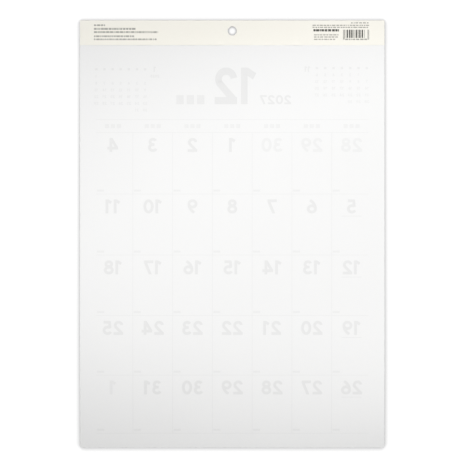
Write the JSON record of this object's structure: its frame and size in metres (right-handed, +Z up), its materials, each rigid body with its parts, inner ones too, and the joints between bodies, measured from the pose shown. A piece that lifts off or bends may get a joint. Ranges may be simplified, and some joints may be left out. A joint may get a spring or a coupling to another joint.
{
  "type": "wall calendar",
  "caption": "Upright sheet calendar bound at the head by a folded cream card band, with one punched hole to hang it on a wall.",
  "frame": {"origin": "centre of the hanging hole, midway through the bound head", "axes": "+Z up as the calendar hangs, +X across its width, -Y the side that is read, +Y the back that meets the wall"},
  "size_m": [0.3, 0.0098, 0.4215],
  "materials": {
    "leaf_paper": "matte",
    "band_card": "matte"
  },
  "bodies": {
    "root": {"month_leaves": "leaf_paper", "header_band": "band_card"}
  },
  "joints": []
}
